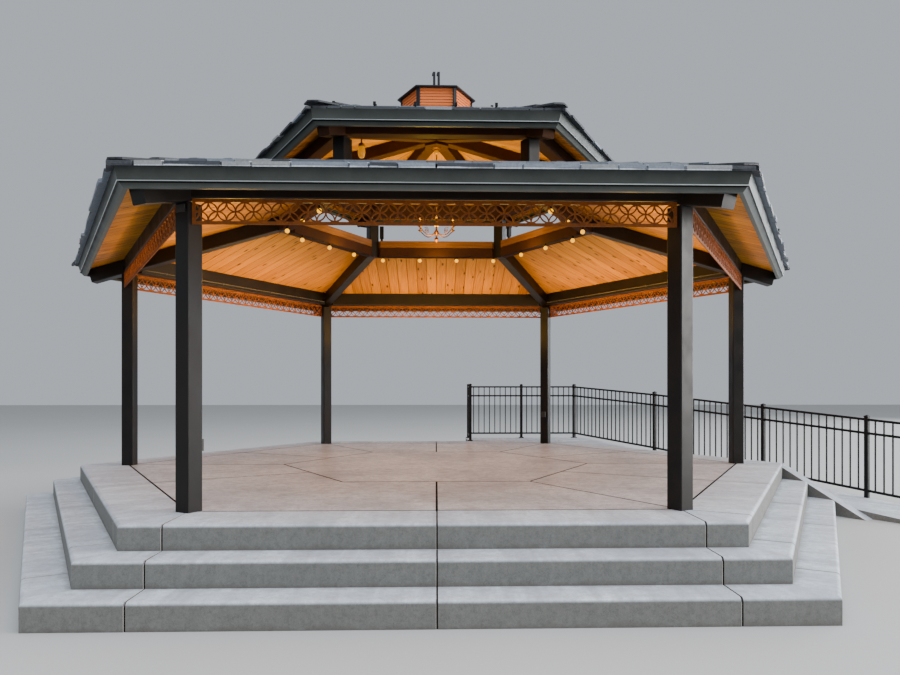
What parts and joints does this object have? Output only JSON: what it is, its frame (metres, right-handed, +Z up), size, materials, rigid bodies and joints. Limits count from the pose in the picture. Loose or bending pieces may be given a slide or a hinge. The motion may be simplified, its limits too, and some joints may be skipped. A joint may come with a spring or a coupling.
{
  "type": "bandstand",
  "caption": "Hexagonal park bandstand with stepped deck, ramp, pierced friezes and a two-tier hipped roof open at the clerestory.",
  "frame": {"origin": "on the ground under the middle of the six-sided deck", "axes": "+Z up, -Y towards the front steps, +X to the right seen from the front; the ramp leaves the back right side"},
  "size_m": [11.815, 9.5352, 5.7402],
  "materials": {
    "concrete_grey": "broomed grey concrete, rounded nosings",
    "concrete_buff": "tan coloured concrete, fine exposed grain",
    "fence_black": "black powder coat",
    "bronze_steel": "dark bronze paint, satin",
    "rust_plate": "cut steel plate, rust brown",
    "pine_boards": "knotty pine, clear stain",
    "roof_tile": "slate grey concrete tile",
    "gutter_green": "dark grey green paint",
    "curb_timber": "dark brown stain",
    "copper_siding": "orange brown lapped boards",
    "dark_trim": "dark bronze sheet",
    "lamp_metal": "oil rubbed bronze",
    "warm_bulb": "lit festoon bulb",
    "black_plastic": "matt black",
    "box_metal": "cast cover, weathered"
  },
  "bodies": {
    "root": {"plinth_core": "concrete_grey", "floor_slabs": "concrete_buff", "deck_border": "concrete_grey", "border_corners": "concrete_grey", "front_steps": "concrete_grey", "side_steps": "concrete_grey", "back_steps": "concrete_grey", "corner_steps": "concrete_grey", "landing": "concrete_grey", "ramp": "concrete_grey", "cheek_wall": "concrete_grey", "fence_posts": "fence_black", "fence_panels": "fence_black", "main_posts": "bronze_steel", "frieze_front": "rust_plate", "frieze_front_left": "rust_plate", "frieze_front_right": "rust_plate", "frieze_back_left": "rust_plate", "frieze_back_right": "rust_plate", "frieze_back": "rust_plate", "eave_beams": "bronze_steel", "hip_rafters": "bronze_steel", "lower_ceiling": "pine_boards", "lower_roofing": "roof_tile", "lower_gutter": "gutter_green", "lower_hip_caps": "roof_tile", "ring_beam": "bronze_steel", "ring_curb": "curb_timber", "ring_flashing": "gutter_green", "upper_posts": "bronze_steel", "upper_eave_beams": "bronze_steel", "upper_hip_rafters": "bronze_steel", "hub": "bronze_steel", "upper_ceiling": "pine_boards", "upper_roofing": "roof_tile", "upper_gutter": "gutter_green", "upper_hip_caps": "roof_tile", "cupola_siding": "copper_siding", "cupola_corners": "dark_trim", "cupola_cap": "dark_trim", "finial": "dark_trim", "chandelier": "lamp_metal", "festoon": "warm_bulb", "speaker_boxes": "black_plastic", "outlet_boxes": "box_metal"}
  },
  "joints": []
}
